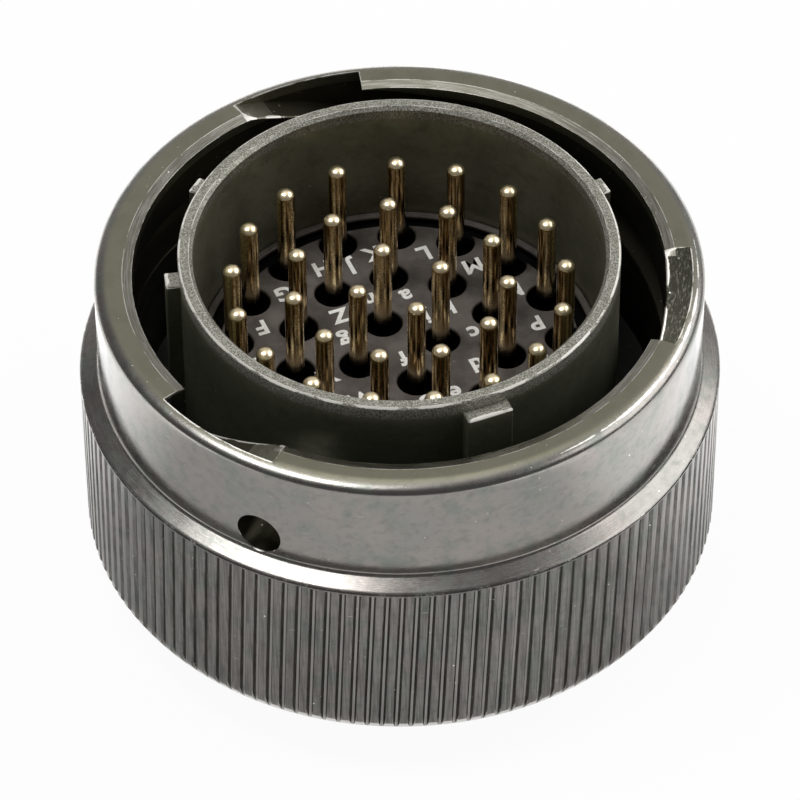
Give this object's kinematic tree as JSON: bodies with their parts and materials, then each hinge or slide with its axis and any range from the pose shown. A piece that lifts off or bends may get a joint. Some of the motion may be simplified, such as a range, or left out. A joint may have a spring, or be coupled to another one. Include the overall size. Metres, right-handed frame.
{
  "type": "bayonet circular connector",
  "caption": "Circular connector plug with gold pin contacts, a keyed barrel and a knurled bayonet coupling nut with internal ramps.",
  "frame": {"origin": "on the connector's axis, at the rear end of the shell that it stands on", "axes": "+Z along the connector's axis towards the mating face; the master key lies on the -Y side"},
  "size_m": [0.0353, 0.0352, 0.0225],
  "materials": {
    "shell_finish": "dark olive plating, satin, bright at worn edges",
    "nut_finish": "dark olive plating, satin",
    "contact_gold": "polished gold plating on copper alloy",
    "face_seal_rubber": "matt, dark brown-grey",
    "gasket_rubber": "matt black",
    "grommet_rubber": "matt, dark brown",
    "hard_insulator": "moulded, matt",
    "spring_steel": "bright spring steel"
  },
  "bodies": {
    "plug": {"plug_shell": "shell_finish", "shell_gasket": "gasket_rubber", "wave_spring": "spring_steel", "interfacial_seal": "face_seal_rubber", "front_insert": "hard_insulator", "rear_insert": "hard_insulator", "rear_grommet": "grommet_rubber", "outer_pin_01": "contact_gold", "outer_pin_02": "contact_gold", "outer_pin_03": "contact_gold", "outer_pin_04": "contact_gold", "outer_pin_05": "contact_gold", "outer_pin_06": "contact_gold", "outer_pin_07": "contact_gold", "outer_pin_08": "contact_gold", "outer_pin_09": "contact_gold", "outer_pin_10": "contact_gold", "outer_pin_11": "contact_gold", "outer_pin_12": "contact_gold", "outer_pin_13": "contact_gold", "outer_pin_14": "contact_gold", "outer_pin_15": "contact_gold", "outer_pin_16": "contact_gold", "outer_pin_17": "contact_gold", "middle_pin_01": "contact_gold", "middle_pin_02": "contact_gold", "middle_pin_03": "contact_gold", "middle_pin_04": "contact_gold", "middle_pin_05": "contact_gold", "middle_pin_06": "contact_gold", "middle_pin_07": "contact_gold", "middle_pin_08": "contact_gold", "middle_pin_09": "contact_gold", "middle_pin_10": "contact_gold", "middle_pin_11": "contact_gold", "inner_pin_1": "contact_gold", "inner_pin_2": "contact_gold", "inner_pin_3": "contact_gold", "inner_pin_4": "contact_gold"},
    "float": {"thrust_washer": "spring_steel"},
    "nut": {"coupling_nut": "nut_finish", "retaining_ring": "spring_steel"}
  },
  "joints": [
    {"name": "nut_float", "type": "slide", "parent": "plug", "child": "float", "axis": [0, 0, 1], "range_m": [0, 0.0008], "stiffness_N_per_m": 3000, "springref_m": -0.001, "deforming": ["wave_spring"]},
    {"name": "nut_turn", "type": "hinge", "parent": "float", "child": "nut", "pos_m": [0, 0, 0.012], "axis": [0, 0, 1], "continuous": true}
  ]
}
